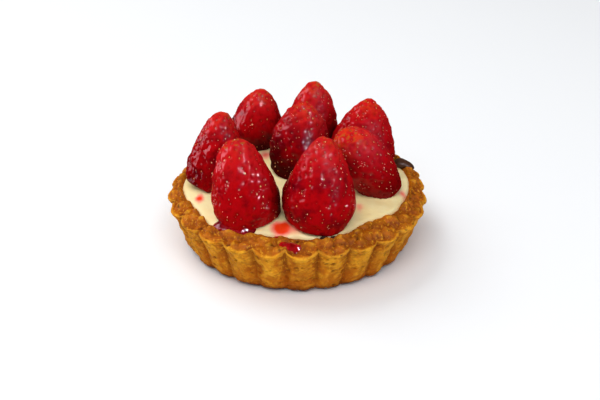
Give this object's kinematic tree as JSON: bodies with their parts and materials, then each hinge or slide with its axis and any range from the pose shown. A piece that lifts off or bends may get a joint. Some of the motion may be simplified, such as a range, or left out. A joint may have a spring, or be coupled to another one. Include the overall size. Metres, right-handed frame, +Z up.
{
  "type": "strawberry tart",
  "caption": "Small fluted pastry tart filled with custard cream and topped with whole glazed strawberries that stand point up.",
  "frame": {"origin": "middle of the flat underside of the pastry case, on the surface that the tart stands on", "axes": "+Z up, -Y the front that the picture shows, +X to the right seen from the front"},
  "size_m": [0.0996, 0.0999, 0.0555],
  "materials": {
    "pastry": "matte",
    "cream": "satin",
    "strawberry": "gloss",
    "chocolate": "satin"
  },
  "bodies": {
    "root": {"pastry_case": "pastry", "cream_filling": "cream", "strawberry_left": "strawberry", "strawberry_back_left": "strawberry", "strawberry_back": "strawberry", "strawberry_middle": "strawberry", "strawberry_back_right": "strawberry", "strawberry_front_left": "strawberry", "strawberry_front_right": "strawberry", "strawberry_right": "strawberry", "chocolate_dab": "chocolate"}
  },
  "joints": []
}
